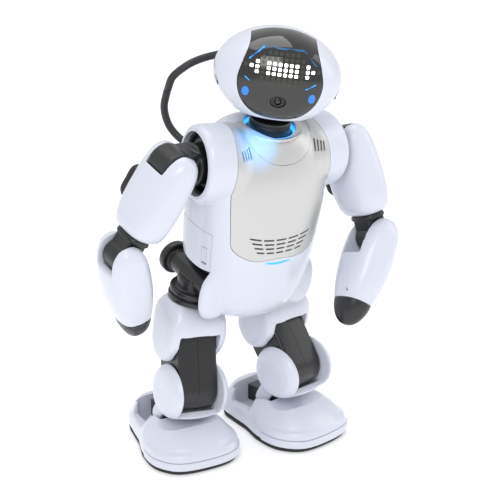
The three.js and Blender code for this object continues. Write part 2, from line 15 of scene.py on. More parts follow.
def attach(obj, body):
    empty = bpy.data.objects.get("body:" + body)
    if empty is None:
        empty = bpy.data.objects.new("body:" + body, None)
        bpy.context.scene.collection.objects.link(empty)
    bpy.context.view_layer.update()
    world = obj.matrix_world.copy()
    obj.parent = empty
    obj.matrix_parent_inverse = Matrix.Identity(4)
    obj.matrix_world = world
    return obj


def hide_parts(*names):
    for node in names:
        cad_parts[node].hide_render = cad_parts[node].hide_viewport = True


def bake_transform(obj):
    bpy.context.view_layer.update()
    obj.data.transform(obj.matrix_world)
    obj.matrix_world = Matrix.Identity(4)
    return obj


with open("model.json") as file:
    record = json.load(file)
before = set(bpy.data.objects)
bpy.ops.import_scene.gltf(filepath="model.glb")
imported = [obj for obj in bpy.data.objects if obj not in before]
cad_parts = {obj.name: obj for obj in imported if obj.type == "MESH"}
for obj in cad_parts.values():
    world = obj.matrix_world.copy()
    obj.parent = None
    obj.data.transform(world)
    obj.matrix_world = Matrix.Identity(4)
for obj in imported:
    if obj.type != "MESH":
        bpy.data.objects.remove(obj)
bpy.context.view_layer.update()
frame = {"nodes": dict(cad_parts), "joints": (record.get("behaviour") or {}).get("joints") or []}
JOINTS = {joint["name"]: joint for joint in frame["joints"]}
SIDES = (("right", -1), ("left", 1))

# How the robot stands, in degrees, and where its neck and shoulders are on the torso, in millimetres.
HEAD_NOD = -10
ARM_RAISED = {"right": 25, "left": -11}
ELBOW_BENT = {"right": -42, "left": 42}
NECK_Y, NECK_Z = -4, 163
SHOULDER_X, SHOULDER_Z = 66, 136
SHOULDER_TOE_IN = 7
rad = math.radians


# ---------------------------------------------------------------- frames of the bodies
def pivot(name):
    return Vector(JOINTS[name]["pos_m"])


def axis(name, sign=1):
    return Vector(JOINTS[name]["axis"]) * sign


def place(origin, x=None, y=None, z=None):
    """A matrix from a body's own millimetres to the row frame, from two of its axes."""
    if x is None:
        x = y.cross(z)
    elif y is None:
        y = z.cross(x)
    else:
        z = x.cross(y)
    turn = Matrix((x.normalized(), y.normalized(), z.normalized())).transposed().to_4x4()
    return Matrix.Translation(origin) @ turn @ Matrix.Scale(0.001, 4)


def turned(vector, about, degrees):
    return Matrix.Rotation(rad(degrees), 3, about) @ vector


def body_frames():
    up, across = axis("head_pan"), axis("right_shoulder_pitch")
    back = up.cross(across)
    frames = {"torso": place(pivot("head_pan") - up * 0.163 + back * 0.004, x=across, z=up)}
    tilt = axis("head_tilt")
    frames["neck"] = place(pivot("head_pan"), x=tilt, z=up)
    frames["head"] = place(pivot("head_tilt"), x=tilt, z=turned(up, tilt, HEAD_NOD))
    for side, s in SIDES:
        pitch, roll = axis(f"{side}_shoulder_pitch"), axis(f"{side}_shoulder_roll", -s)
        frames[f"{side}_shoulder_bracket"] = place(pivot(f"{side}_shoulder_pitch"), x=pitch, y=roll)
        outward = turned(pitch, roll, ARM_RAISED[side])
        frames[f"{side}_upper_arm"] = place(pivot(f"{side}_shoulder_roll"), x=outward, y=roll)
        outward = turned(outward, roll, ELBOW_BENT[side])
        frames[f"{side}_forearm"] = place(pivot(f"{side}_elbow"), x=outward, y=roll)
        lean, yaw = axis(f"{side}_hip_roll", -s), axis(f"{side}_hip_yaw", -s)
        hip, knee = pivot(f"{side}_hip_pitch"), pivot(f"{side}_knee")
        ankle = pivot(f"{side}_ankle_pitch")
        hinge = axis(f"{side}_hip_pitch")
        frames[f"{side}_hip_roll"] = place(pivot(f"{side}_hip_roll"), y=lean, z=yaw)
        frames[f"{side}_hip_yaw"] = place(pivot(f"{side}_hip_yaw"), x=hinge, z=yaw)
        frames[f"{side}_thigh"] = place(hip, x=hinge, z=hip - knee)
        frames[f"{side}_shin"] = place(knee, x=hinge, z=knee - ankle)
        frames[f"{side}_ankle"] = place(ankle, y=axis(f"{side}_ankle_roll", -s), z=Vector((0, 0, 1)))
        frames[f"{side}_foot"] = frames[f"{side}_ankle"]
    frames["battery_door"] = frames["door_latch"] = frames["power_button"] = frames["torso"]
    return frames


FRAMES = body_frames()


# ---------------------------------------------------------------- camera
def camera():
    target = Vector((0.0, -0.010, 0.190))
    azimuth, elevation = rad(-32), rad(21)
    away = Vector((
        math.sin(azimuth) * math.cos(elevation), -math.cos(azimuth) * math.cos(elevation),
        math.sin(elevation)))
    data = bpy.data.cameras.new("camera")
    data.lens = 123.84
    data.sensor_width = 36
    data.shift_x = 0.014
    data.shift_y = -0.0034
    eye = bpy.data.objects.new("camera", data)
    eye.location = target + away * 1.5
    eye.rotation_euler = (-away).to_track_quat("-Z", "Y").to_euler()
    bpy.context.scene.collection.objects.link(eye)
    bpy.context.scene.camera = eye


camera()


# ---------------------------------------------------------------- mesh helpers, all in millimetres
def mesh_object(name, points, faces):
    data = bpy.data.meshes.new(name)
    data.from_pydata([tuple(p) for p in points], [], [tuple(f) for f in faces])
    piece = bpy.data.objects.new(name, data)
    bpy.context.scene.collection.objects.link(piece)
    shell = bmesh.new()
    shell.from_mesh(data)
    bmesh.ops.recalc_face_normals(shell, faces=shell.faces)
    shell.to_mesh(data)
    shell.free()
    return piece


def rings(name, loops, closed=False):
    """A skin over loops of points that all have the same count, with flat ends unless it is closed."""
    loops = np.asarray(loops, float)
    n, m = loops.shape[:2]
    faces = []
    for i in range(n if closed else n - 1):
        for k in range(m):
            a, b = i * m + k, i * m + (k + 1) % m
            j = (i + 1) % n
            faces.append((a, b, j * m + (k + 1) % m, j * m + k))
    if not closed:
        faces += [tuple(range(m))[::-1], tuple((n - 1) * m + k for k in range(m))]
    return mesh_object(name, loops.reshape(-1, 3), faces)


def hermite(points, count, closed=False):
    """Points on a smooth curve through the given ones."""
    p = np.asarray(points, float)
    if closed:
        p = np.concatenate([p[-2:], p, p[:3]])
    t = np.concatenate([[0], np.cumsum(np.maximum(np.linalg.norm(np.diff(p, axis=0), axis=1), 1e-6))])
    m = np.gradient(p, t, axis=0)
    low, high = (t[2], t[-3]) if closed else (t[0], t[-1])
    s = np.linspace(low, high, count, endpoint=not closed)
    i = np.clip(np.searchsorted(t, s, side="right") - 1, 0, len(t) - 2)
    h = (t[i + 1] - t[i])[:, None]
    u = (s - t[i])[:, None] / h
    return ((2 * u**3 - 3 * u**2 + 1) * p[i] + (u**3 - 2 * u**2 + u) * h * m[i]
            + (3 * u**2 - 2 * u**3) * p[i + 1] + (u**3 - u**2) * h * m[i + 1])


def superellipse(a, b, power, count):
    t = np.linspace(0, 2 * math.pi, count, endpoint=False)
    c, s = np.cos(t), np.sin(t)
    return np.stack([a * np.sign(c) * np.abs(c) ** (2 / power), b * np.sign(s) * np.abs(s) ** (2 / power)], 1)


def loft_up(name, form, power=2.4, around=72, up=48):
    """Level rings from [height, half width, half depth, centre y, centre x] rows."""
    rows = hermite([list(r) + [0.0] * (5 - len(r)) for r in form], up)
    loops = []
    for z, a, b, y, x in rows:
        ring = superellipse(max(a, 0.2), max(b, 0.2), power, around)
        loops.append(np.column_stack([ring[:, 0] + x, ring[:, 1] + y, np.full(around, z)]))
    return rings(name, loops)


def loft_across(name, outline, rows, across=28, centre=(0, 0)):
    """An outline of [y, z] points carried across X by [x, scale] rows."""
    outline = np.asarray(outline, float)
    centre = np.asarray(centre, float)
    loops = []
    for x, k in hermite(rows, across):
        ring = centre + (outline - centre) * k
        loops.append(np.column_stack([np.full(len(ring), x), ring[:, 0], ring[:, 1]]))
    return rings(name, loops)


def arc(cx, cy, r, start, end, steps):
    a = np.radians(np.linspace(start, end, steps))
    return [[cx + r * math.cos(t), cy + r * math.sin(t)] for t in a]


def prism(name, way, outline, low, high):
    """An outline pushed along X ([y, z] points), Y ([x, z] points) or Z ([x, y] points)."""
    outline = np.asarray(outline, float)
    order = {"x": lambda h: np.column_stack([np.full(len(outline), h), outline]),
             "y": lambda h: np.column_stack([outline[:, 0], np.full(len(outline), h), outline[:, 1]]),
             "z": lambda h: np.column_stack([outline, np.full(len(outline), h)])}[way]
    return rings(name, [order(low), order(high)])


def box(name, w, d, h, x=0, y=0, z=0):
    corners = [[-w / 2, -d / 2], [w / 2, -d / 2], [w / 2, d / 2], [-w / 2, d / 2]]
    return prism(name, "z", [[x + a, y + b] for a, b in corners], z - h / 2, z + h / 2)


def lathe(name, way, profile, x=0, y=0, z=0, count=64, closed=False):
    """A profile of [radius, distance along the axis] turned about X, Y or Z."""
    t = np.linspace(0, 2 * math.pi, count, endpoint=False)
    loops = []
    for r, h in profile:
        c, s, along = r * np.cos(t), r * np.sin(t), np.full(count, float(h))
        columns = {"x": (along, c, s), "y": (c, along, s), "z": (c, s, along)}[way]
        loops.append(np.column_stack(columns) + np.array([x, y, z], float))
    return rings(name, loops, closed)


def rod(name, way, r, length, x=0, y=0, z=0, edge=0.0, count=64):
    h = length / 2
    profile = [[r, -h], [r, h]]
    if edge:
        profile = [[r - edge, -h], [r - edge * 0.3, -h + edge * 0.3], [r, -h + edge],
                   [r, h - edge], [r - edge * 0.3, h - edge * 0.3], [r - edge, h]]
    return lathe(name, way, profile, x, y, z, count)


def applied(piece):
    depsgraph = bpy.context.evaluated_depsgraph_get()
    data = bpy.data.meshes.new_from_object(piece.evaluated_get(depsgraph), depsgraph=depsgraph)
    piece.modifiers.clear()
    old = piece.data
    piece.data = data
    bpy.data.meshes.remove(old)
    return piece


def dropped(piece):
    data = piece.data
    bpy.data.objects.remove(piece)
    bpy.data.meshes.remove(data)


def combine(base, other, operation, keep=False):
    step = base.modifiers.new("step", "BOOLEAN")
    step.operation = operation
    step.solver = "EXACT"
    step.object = other
    applied(base)
    if not keep:
        dropped(other)
    return base


def cut(base, *others, keep=False):
    for other in others:
        combine(base, other, "DIFFERENCE", keep)
    return base


def common(base, other, keep=False):
    return combine(base, other, "INTERSECT", keep)


def copied(piece, name):
    twin = bpy.data.objects.new(name, piece.data.copy())
    bpy.context.scene.collection.objects.link(twin)
    return twin


def joined(name, parts):
    """Several meshes as one object, overlapping as they are."""
    whole = bmesh.new()
    for part in parts:
        whole.from_mesh(part.data)
        dropped(part)
    data = bpy.data.meshes.new(name)
    whole.to_mesh(data)
    whole.free()
    piece = bpy.data.objects.new(name, data)
    bpy.context.scene.collection.objects.link(piece)
    return piece


def relaxed(piece, times):
    if times:
        ease = piece.modifiers.new("ease", "SMOOTH")
        ease.factor = 0.5
        ease.iterations = times
        applied(piece)
    return piece


def melted(name, parts, voxel=0.9, times=6):
    """Overlapping closed parts as one skin whose edges are a little rounded."""
    piece = joined(name, parts)
    remesh = piece.modifiers.new("remesh", "REMESH")
    remesh.mode = "VOXEL"
    remesh.voxel_size = voxel
    applied(piece)
    return relaxed(piece, times)


def shaded(piece, angle=32):
    piece.data.polygons.foreach_set("use_smooth", [True] * len(piece.data.polygons))
    piece.data.set_sharp_from_angle(angle=rad(angle))
    return piece


def handed(piece, name, body, material, replaces=(), angle=32, where=None):
    """The finished piece, set in the row frame, on its body, with its material."""
    piece.name = name
    piece.data.name = name
    piece.data.transform(where or FRAMES[body])
    piece.data.materials.clear()
    piece.data.materials.append(material)
    shaded(piece, angle)
    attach(piece, body)
    if replaces:
        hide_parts(*([replaces] if isinstance(replaces, str) else replaces))
    return piece


# ---------------------------------------------------------------- materials
def material(name, colour, roughness, metallic=0.0, coat=0.0, grain=0.0, grain_scale=900.0, vary=0.03,
             wear=0.06,
             coat_roughness=0.05):
    """Moulded plastic or paint: colour and gloss drift over the surface, with a fine moulded grain."""
    made = bpy.data.materials.new(name)
    made.use_nodes = True
    nodes, links = made.node_tree.nodes, made.node_tree.links
    shader = nodes["Principled BSDF"]
    shader.inputs["Metallic"].default_value = metallic
    shader.inputs["Coat Weight"].default_value = coat
    shader.inputs["Coat Roughness"].default_value = coat_roughness
    coordinates = nodes.new("ShaderNodeTexCoord")
    drift = nodes.new("ShaderNodeTexNoise")
    drift.inputs["Scale"].default_value = 14.0
    drift.inputs["Detail"].default_value = 4.0
    links.new(coordinates.outputs["Object"], drift.inputs["Vector"])
    tint = nodes.new("ShaderNodeMix")
    tint.data_type = "RGBA"
    tint.inputs["A"].default_value = (*[c * (1 - vary) for c in colour], 1)
    tint.inputs["B"].default_value = (*[min(1.0, c * (1 + vary)) for c in colour], 1)
    links.new(drift.outputs["Fac"], tint.inputs["Factor"])
    links.new(tint.outputs["Result"], shader.inputs["Base Color"])
    smear = nodes.new("ShaderNodeTexNoise")
    smear.inputs["Scale"].default_value = 45.0
    smear.inputs["Detail"].default_value = 6.0
    links.new(coordinates.outputs["Object"], smear.inputs["Vector"])
    gloss = nodes.new("ShaderNodeMapRange")
    gloss.inputs["To Min"].default_value = max(0.02, roughness - wear)
    gloss.inputs["To Max"].default_value = roughness + wear
    links.new(smear.outputs["Fac"], gloss.inputs["Value"])
    links.new(gloss.outputs["Result"], shader.inputs["Roughness"])
    if grain:
        fine = nodes.new("ShaderNodeTexNoise")
        fine.inputs["Scale"].default_value = grain_scale
        fine.inputs["Detail"].default_value = 3.0
        links.new(coordinates.outputs["Object"], fine.inputs["Vector"])
        bump = nodes.new("ShaderNodeBump")
        bump.inputs["Strength"].default_value = grain
        bump.inputs["Distance"].default_value = 0.0004
        links.new(fine.outputs["Fac"], bump.inputs["Height"])
        links.new(bump.outputs["Normal"], shader.inputs["Normal"])
    return made


def glow(name, colour, strength):
    """A lit lens with a little unevenness in it."""
    made = material(name, colour, 0.25, vary=0.05)
    nodes, links = made.node_tree.nodes, made.node_tree.links
    shader = nodes["Principled BSDF"]
    haze = nodes.new("ShaderNodeTexNoise")
    haze.inputs["Scale"].default_value = 220.0
    level = nodes.new("ShaderNodeMapRange")
    level.inputs["To Min"].default_value = strength * 0.85
    level.inputs["To Max"].default_value = strength * 1.15
    links.new(haze.outputs["Fac"], level.inputs["Value"])
    shader.inputs["Emission Color"].default_value = (*colour, 1)
    links.new(level.outputs["Result"], shader.inputs["Emission Strength"])
    return made


def painted_light_near(made, point, reach, colour, strength):
    """Paints light into a surface's emission close to a point of the row frame, in metres: a painted pool of
    light.
    """
    nodes, links = made.node_tree.nodes, made.node_tree.links
    shader = nodes["Principled BSDF"]
    coordinates = nodes.new("ShaderNodeTexCoord")
    away = nodes.new("ShaderNodeVectorMath")
    away.operation = "DISTANCE"
    away.inputs[1].default_value = point
    links.new(coordinates.outputs["Object"], away.inputs[0])
    fade = nodes.new("ShaderNodeMapRange")
    fade.interpolation_type = "SMOOTHERSTEP"
    fade.inputs["From Min"].default_value = reach[0]
    fade.inputs["From Max"].default_value = reach[1]
    fade.inputs["To Min"].default_value = strength
    fade.inputs["To Max"].default_value = 0.0
    links.new(away.outputs["Value"], fade.inputs["Value"])
    shader.inputs["Emission Color"].default_value = (*colour, 1)
    links.new(fade.outputs["Result"], shader.inputs["Emission Strength"])
    return made


WHITE = material("white_gloss_plastic", (0.68, 0.70, 0.78), 0.26, coat=0.25, grain=0.02, vary=0.012,
                 wear=0.04)
SILVER = material("silver_satin_paint", (0.60, 0.60, 0.585), 0.36, metallic=0.55, grain=0.10,
                  grain_scale=2600,
                  vary=0.03)
YOKE_SILVER = material("silver_collar_paint", (0.60, 0.60, 0.585), 0.34, metallic=0.5, grain=0.08,
                       grain_scale=2600, vary=0.03)
BLACK = material("black_satin_plastic", (0.014, 0.014, 0.015), 0.33, coat=0.1, grain=0.10, grain_scale=1500,
                 vary=0.2)
DARK = material("dark_matt_plastic", (0.010, 0.010, 0.011), 0.55, grain=0.15, grain_scale=1200, vary=0.2)
VISOR = material("black_gloss_visor", (0.010, 0.0095, 0.009), 0.05, coat=0.6, vary=0.15, wear=0.02)
RUBBER = material("black_rubber", (0.012, 0.012, 0.012), 0.7, grain=0.3, grain_scale=1400, vary=0.25)
HOSE = material("dark_hose", (0.022, 0.023, 0.026), 0.42, grain=0.12, grain_scale=1800, vary=0.2)
LED_WHITE = glow("led_white", (1.0, 0.97, 0.90), 3.0)
LED_DIM = material("led_dim", (0.05, 0.048, 0.036), 0.3, vary=0.2)
LED_BLUE = glow("led_blue", (0.02, 0.30, 0.95), 1.1)
LED_FAINT = glow("led_blue_faint", (0.02, 0.10, 0.22), 0.35)
CHEEK_BLUE = glow("cheek_blue", (0.02, 0.16, 0.55), 0.6)
PORT = material("port_metal", (0.30, 0.30, 0.31), 0.3, metallic=0.9, vary=0.05)
COLLAR = glow("collar_blue", (0.05, 0.40, 1.0), 1.6)
# Painted blue light from the collar glow, put into the emission of the silver paint near the neck.
GLOW_SPOT = FRAMES["torso"] @ Vector((-24, -24, 160))
painted_light_near(YOKE_SILVER, GLOW_SPOT, (0.004, 0.026), (0.05, 0.42, 1.0), 0.9)
painted_light_near(SILVER, GLOW_SPOT, (0.004, 0.030), (0.05, 0.42, 1.0), 0.8)


# ---------------------------------------------------------------- hose behind the head
HOSE_RADIUS = 0.0034
LOWER_ROUTE = [[-40, 39, 128], [-46, 52, 129], [-55, 64, 139], [-60, 69, 155], [-60, 68, 172]]
UPPER_ROUTE = [[-60, 67.4, 173], [-59, 64, 186], [-50, 60, 197]]
UPPER_SOCKET = [[-26, 54, 36], [-26, 40, 36]]


def ribbed_tube(name, path):
    """A closed tube along a path of points in the row frame, with a shallow groove every 1.6 mm."""
    path = hermite(path, 200)
    ways = np.gradient(path, axis=0)
    ways /= np.linalg.norm(ways, axis=1)[:, None]
    side = np.cross(ways[0], [0, 0, 1.0])
    far = np.concatenate([[0], np.cumsum(np.linalg.norm(np.diff(path, axis=0), axis=1))])
    t = np.linspace(0, 2 * math.pi, 32, endpoint=False)[:, None]
    loops = []
    for centre, way, along in zip(path, ways, far):
        side = side - way * side.dot(way)
        side /= np.linalg.norm(side)
        radius = HOSE_RADIUS - 0.00012 * (1 + math.cos(2 * math.pi * along / 0.0016))
        loops.append(centre + radius * (np.cos(t) * side + np.sin(t) * np.cross(way, side)))
    return rings(name, loops)


def hose():
    """Two lengths that meet above the shoulder: the lower laid in the torso's frame, the upper running on
    from there to a socket in the back of the head.
    """
    torso_points = [FRAMES["torso"] @ Vector(p) for p in LOWER_ROUTE]
    head_points = [FRAMES["torso"] @ Vector(p) for p in UPPER_ROUTE]
    head_points += [FRAMES["head"] @ Vector(p) for p in UPPER_SOCKET]
    for name, node, points, bodies in (("hose_lower", "neck_hose_lower", torso_points, ("torso", "neck")),
                                       ("hose_upper", "neck_hose_upper", head_points, ("neck", "head"))):
        tube = ribbed_tube(name, [list(p) for p in points])
        tube.data.materials.append(HOSE)
        shaded(tube, 60)
        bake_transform(tube)
        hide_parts(node)


hose()


# ---------------------------------------------------------------- outlines seen from the front as [x, z]
def two_sided(half, bottom, top, count=120):
    points = [[0, bottom], *half, [0, top], *[[-x, z] for x, z in reversed(half)]]
    return hermite(points, count, closed=True)


def grown(outline, by, u0, v0):
    outline = np.asarray(outline, float)
    away = outline - np.array([u0, v0], float)
    return outline + away / np.linalg.norm(away, axis=1)[:, None] * by


TORSO_FORM = [
    [-11, 15, 12, -6], [-8, 31, 25, -5], [2, 45, 37, -3], [20, 52, 44, -2], [45, 56, 48, -1], [75, 59, 49, 0],
    [104, 61, 47, 0], [134, 58, 43, 1], [154, 50, 36, 2], [164, 38, 28, 2], [168, 26, 20, 2],
]
BIB = two_sided([[30, 62], [41, 69], [45, 88], [47, 112], [47, 138], [42, 168]], 61, 190)
YOKE = two_sided([[14, 147], [23, 152], [30, 160], [34, 172]], 145, 190)
HEAD_FORM = [
    [0, 14, 14, -2], [1.2, 25, 25, -2], [4, 33.5, 33, -2], [9, 40, 38, -2], [18, 48, 42, -1],
    [28, 53.4, 44, 0],
    [37, 54, 45, 0], [47, 51, 44, 0], [57, 44, 40, 0], [66, 31.5, 30.5, 0], [71, 20, 20, 0], [73.6, 9, 9, 0],
    [74.2, 0.5, 0.5, 0],
]
FACE = two_sided([[20, 9], [31, 20], [35, 34], [32, 50], [28, 62], [25, 74]], 5, 84)


def thinned(form, wall):
    kept = [r for r in form if form[0][0] + wall < r[0] < form[-1][0] - wall / 2]
    return [[r[0], r[1] - wall, r[2] - wall, *r[3:]] for r in kept]


# ---------------------------------------------------------------- torso
def at_shoulder(piece, s):
    """A piece made along X, its mouth at x = 0, set on a shoulder and turned a little to the front."""
    place_at = Matrix.Translation((s * SHOULDER_X, 0, SHOULDER_Z))
    turn = place_at @ Matrix.Rotation(s * rad(SHOULDER_TOE_IN), 4, "Z") @ Matrix.Scale(s, 4, (1, 0, 0))
    piece.data.transform(turn)
    if s < 0:
        piece.data.flip_normals()
    return piece


def torso():
    boss = [[10, -42], [30, -40], [33.5, -30], [33.6, -4], [32.6, -0.6], [30, 1.2], [8, 1.2]]
    guard = [[-15, 0.8], [-18, 0.95], [-23, 1], [-27, 0.95], [-30, 0.78], [-31.3, 0.5]]
    parts = [loft_up("core", TORSO_FORM, 2.4, 96, 72)]
    for s in (-1, 1):
        parts.append(at_shoulder(lathe("boss", "x", boss), s))
        loops = []
        for y, k in guard:
            ring = superellipse(16 * k, 25 * k, 2.4, 40)
            loops.append(np.column_stack([s * 43 + ring[:, 0], np.full(40, y), ring[:, 1] + 18]))
        parts.append(rings("guard", loops))
    core = melted("core", parts, 1.25, 14)

    # The inside is hollow, so the slots and the openings look into the dark.
    hollow = [loft_up("inner", thinned(TORSO_FORM, 3.2), 2.4, 64, 40)]
    for s in (-1, 1):
        hollow.append(at_shoulder(rod("inner", "x", 29.8, 34, -21), s))
    inner = melted("inner", hollow, 1.8, 3)
    openings = [rod("hole", "z", 22.6, 40, 0, NECK_Y, NECK_Z)]
    for s in (-1, 1):
        openings.append(at_shoulder(rod("hole", "x", 27.5, 24, 6), s))
        crown = arc(s * 43, 19, 24.5, 180 if s > 0 else 0, 0 if s > 0 else 180, 22)
        openings.append(prism("arch", "y", [[s * 12, -60], *crown, [s * 95, 19], [s * 95, -60]], -24.5, 90))
    openings.append(box("web", 90, 100, 24, 0, 26, -14))
    cut(core, inner, *openings)

    door_box = box("door", 60, 44, 48, -60, -2, 54)
    door_gap = box("door", 60, 44.9, 48.9, -60, -2, 54)
    latch_box = box("latch", 60, 5.2, 14, -60, -17, 55.8)
    latch_gap = box("latch", 60, 6.0, 17, -60, -17, 55)
    bib_gap = prism("bib", "y", grown(BIB, 0.45, 0, 110), -100, 6)
    front_box = box("front", 300, 105.6, 400, 0, -47, 80)
    back_box = box("back", 300, 94.4, 400, 0, 53.4, 80)

    panel = common(copied(core, "panel"), prism("bib", "y", BIB, -100, 6))
    yoke = common(copied(panel, "yoke"), prism("yoke", "y", YOKE, -100, 6))
    cut(panel, prism("yoke", "y", grown(YOKE, 0.45, 0, 150), -100, 6))
    slots = []
    for row in range(4):
        reach = 31 - row * 2.5
        for column in range(5):
            half = reach / 5
            middle = -reach + (2 * column + 1) * half
            ends = [[middle - half + 1.2, 0], [middle + half - 1.2, 0]]
            bow = [[x, 81.5 - row * 4.0 - 3.0 * (1 - (x / 28) ** 2) * 0.9 + d] for x, d in
                   [(ends[0][0], 0.8), (ends[0][0] - 0.2, 0), (ends[0][0], -0.8), (middle, -0.8),
                    (ends[1][0], -0.8),
                    (ends[1][0] + 0.2, 0), (ends[1][0], 0.8), (middle, 0.8)]]
            slots.append(prism("slot", "y", bow, -60, -30))
    for s in (-1, 1):
        for i in range(4):
            x, z, h = s * (32.5 + i * 2.7), 155.0 - i * 0.3, 4.6 - i * 0.35
            lean = s * 0.10
            bar = [[x - 0.75 + lean * h, z + h], [x - 0.75 - lean * h, z - h], [x + 0.75 - lean * h, z - h],
                   [x + 0.75 + lean * h, z + h]]
            slots.append(prism("vent", "y", bar, -60, -20))
    cut(panel, joined("slots", slots))
    handed(panel, "chest_panel_paint", "torso", SILVER, "chest_panel")
    handed(yoke, "collar_yoke_paint", "torso", YOKE_SILVER, "collar_yoke")

    door = common(copied(core, "door"), door_box)
    latch = common(copied(door, "latch"), latch_box)
    cut(door, latch_gap)
    handed(door, "battery_door_skin", "battery_door", WHITE, "battery_door")
    handed(latch, "door_latch_skin", "door_latch", WHITE, "door_latch")

    cut(core, door_gap)
    front = common(copied(core, "front"), front_box)
    cut(front, bib_gap)
    back = common(core, back_box)
    cut(back, rod("hole", "y", 5, 40, 22, 50, 120), rod("hole", "y", 5.2, 40, -22, 50, 96))
    handed(front, "torso_front_skin", "torso", WHITE, "torso_front_shell")
    handed(back, "torso_back_skin", "torso", WHITE, "torso_back_shell")


torso()


# ---------------------------------------------------------------- inside and on the torso
def torso_fittings():
    # A dark liner behind the panel's slots, a toothed ring in each shoulder, and the neck's lit socket.
    behind = loft_up("liner", thinned(TORSO_FORM, 6.5), 2.4, 48, 32)
    cut(behind, rod("hole", "z", 24, 60, 0, -4, 160),
        *[at_shoulder(rod("hole", "x", 31, 60, -20), s) for s in (-1, 1)],
        box("below", 200, 200, 80, 0, 0, 20))
    handed(behind, "speaker_cloth", "torso", DARK, ("speaker", "main_board", "battery_pack"))
    for side, s in SIDES:
        t = np.linspace(0, 2 * math.pi, 288, endpoint=False)
        tooth = np.where((np.arange(288) // 4) % 2 == 0, 0.0, 0.9)
        loops = []
        for r, h, teeth in ((28.6, -7.2, 0), (28.6, -4.4, 0), (27.4, -3.9, 0), (26.2, -3.9, 1),
                            (25.4, -5.2, 1),
                            (25.4, -7.2, 1)):
            radius = r - tooth * teeth
            loops.append(np.column_stack([np.full(288, h), radius * np.cos(t), radius * np.sin(t)]))
        ring = rings("ring", loops, closed=True)
        handed(at_shoulder(ring, s), f"{side}_shoulder_tooth_ring", "torso", BLACK,
               f"{side}_shoulder_ring")
    handed(lathe("collar", "z", [[20.9, 161.0], [22.4, 161.0], [22.5, 163.2], [21.9, 164.0], [21.2, 163.8]],
                 0, NECK_Y, 0, closed=True), "collar_glow", "torso", COLLAR, "collar_light")
    rim = lathe("rim", "z", [[22.7, 164.2], [24.2, 164.6], [26.4, 165.4], [27.6, 165.8], [28.2, 165.3],
                             [27.6, 163.4],
                             [24, 162.2], [22.8, 162.6]], 0, NECK_Y, 0, closed=True)
    handed(rim, "collar_rim", "torso", YOKE_SILVER)
    button = lathe("button", "y", [[4.4, 38.4], [4.4, 44.9], [4.0, 45.3], [3.0, 45.1], [0.1, 44.8]], 22, 0,
                   120)
    handed(button, "power_button_cap", "power_button", LED_BLUE, "power_button")
    socket = lathe("socket", "y", [[2.6, 40], [2.6, 46.6], [3.2, 46.9], [4.6, 46.8], [4.9, 46.4], [4.9, 38]],
                   -22, 0, 96, closed=True)
    handed(socket, "charge_socket_ring", "torso", PORT, "charge_socket")
    bow = [[-13, 57.4], [-7, 56.0], [0, 55.4], [7, 56.0], [13, 57.4], [7, 57.6], [0, 57.2], [-7, 57.6]]
    skin = loft_up("skin", [[z, a + 0.35, b + 0.35, y] for z, a, b, y in TORSO_FORM], 2.4, 96, 72)
    light = common(skin, prism("bow", "y", hermite(bow, 48, closed=True), -60, -44))
    handed(light, "belly_glow", "torso", LED_BLUE, "belly_light")


torso_fittings()


# ---------------------------------------------------------------- CAD nodes that keep their shape
def finish_node(node, made):
    """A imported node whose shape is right, with its slots filled from the materials above."""
    piece = frame["nodes"][node]
    if not piece.material_slots:
        piece.data.materials.append(made)
    for place_held in piece.material_slots:
        place_held.material = made


finish_node("pelvis_frame", BLACK)


# ---------------------------------------------------------------- neck and head
def neck():
    barrel = lathe("barrel", "z", [
        [0.2, -5.4], [18.6, -5.4], [20, -4.6], [20, -1.6], [19.2, -0.8], [18.2, -0.4], [17.8, 0.6],
        [17.8, 3.4],
        [17.2, 3.9], [17.2, 4.5], [17.8, 5.0], [17.8, 7.4], [17.2, 7.9], [17.2, 8.5], [17.8, 9.0],
        [17.6, 10.6],
        [16.8, 11], [0.2, 11]])
    handed(barrel, "neck_bellows", "neck", BLACK, "neck_barrel")
    carrier = melted("carrier", [rod("disc", "z", 19, 5, 0, 0, 5.5), box("stem", 24, 8, 24, 0, 10, 16)], 0.9,
                     3)
    handed(carrier, "head_tilt_carrier", "head", BLACK, "head_carrier")


